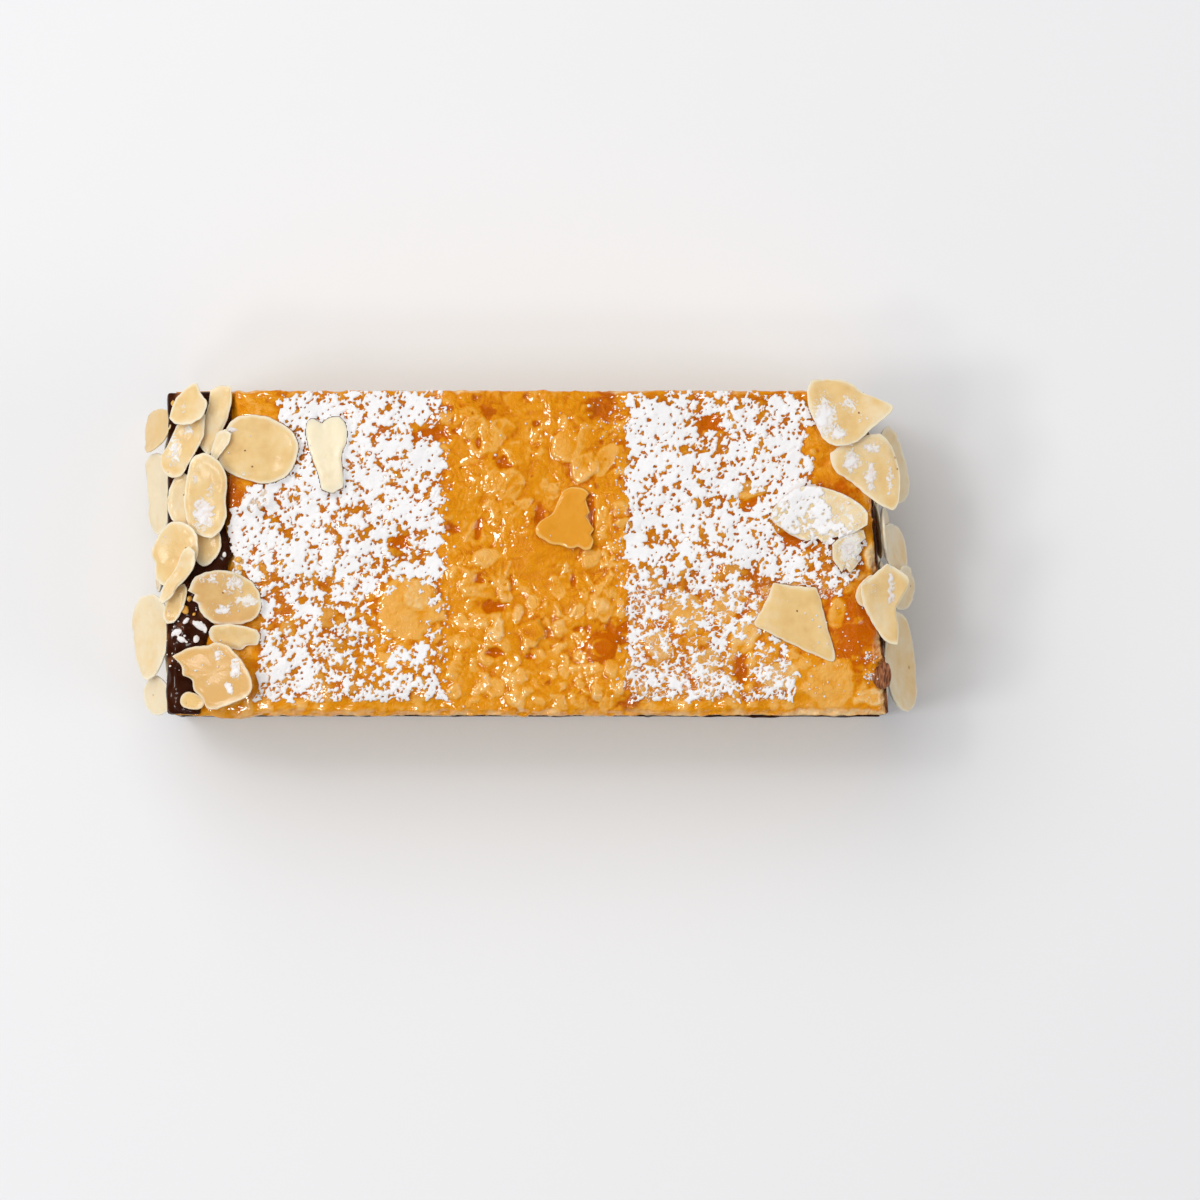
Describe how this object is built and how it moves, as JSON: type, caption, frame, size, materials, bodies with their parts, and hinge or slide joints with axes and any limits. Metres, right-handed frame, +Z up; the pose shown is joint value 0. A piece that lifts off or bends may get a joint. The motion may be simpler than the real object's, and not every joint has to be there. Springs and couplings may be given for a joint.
{
  "type": "praline slice",
  "caption": "Oblong slice of layered cake with a golden almond praline crust, chocolate coated ends, flaked almonds and two bands of icing sugar.",
  "frame": {"origin": "on the underside, under the middle of the slice", "axes": "+X along the slice, +Y across it towards the back, +Z up"},
  "size_m": [0.132, 0.0566, 0.0408],
  "materials": {
    "cake": "pale golden open crumb, matt",
    "chocolate": "dark chocolate, half glossy",
    "praline": "golden caramel over almonds, glossy",
    "almond": "cream almond slices, satin",
    "glazed_almond": "almond under clear amber caramel, glossy",
    "almond_skin": "brown almond skin, matt",
    "icing_sugar": "white icing sugar, powdery"
  },
  "bodies": {
    "root": {"almond_chip": "almond_skin", "cake_base": "cake", "cake_top": "cake", "chocolate_coat_left": "chocolate", "chocolate_coat_right": "chocolate", "chocolate_layer": "chocolate", "flake_left_01": "almond", "flake_left_02": "almond", "flake_left_03": "almond", "flake_left_04": "almond", "flake_left_05": "almond", "flake_left_06": "almond", "flake_left_07": "almond", "flake_left_08": "almond", "flake_left_09": "almond", "flake_left_10": "almond", "flake_left_11": "almond", "flake_left_12": "almond", "flake_left_13": "almond", "flake_left_14": "almond", "flake_right_01": "almond", "flake_right_02": "almond", "flake_right_03": "almond", "flake_right_04": "almond", "flake_right_05": "almond", "flake_right_06": "almond", "flake_right_07": "almond", "flake_right_08": "almond", "flake_right_09": "almond", "flake_right_10": "almond", "flake_right_11": "almond", "flake_right_12": "almond", "flake_right_13": "almond", "flake_right_14": "almond", "flake_top_01": "almond", "flake_top_02": "almond", "flake_top_03": "almond", "flake_top_04": "almond", "flake_top_05": "almond", "flake_top_06": "almond", "flake_top_07": "almond", "flake_top_08": "almond", "flake_top_09": "almond", "flake_top_10": "almond", "flake_top_11": "almond", "flake_top_12": "almond", "flake_top_13": "almond", "flake_top_14": "almond", "flake_top_15": "almond", "flake_top_16": "almond", "flake_top_17": "almond", "flake_top_18": "almond", "flake_top_19": "almond", "flake_top_20": "almond", "flake_top_21": "almond", "flake_top_22": "almond", "flake_top_23": "almond", "glazed_shard": "glazed_almond", "praline_crust": "praline"}
  },
  "joints": []
}
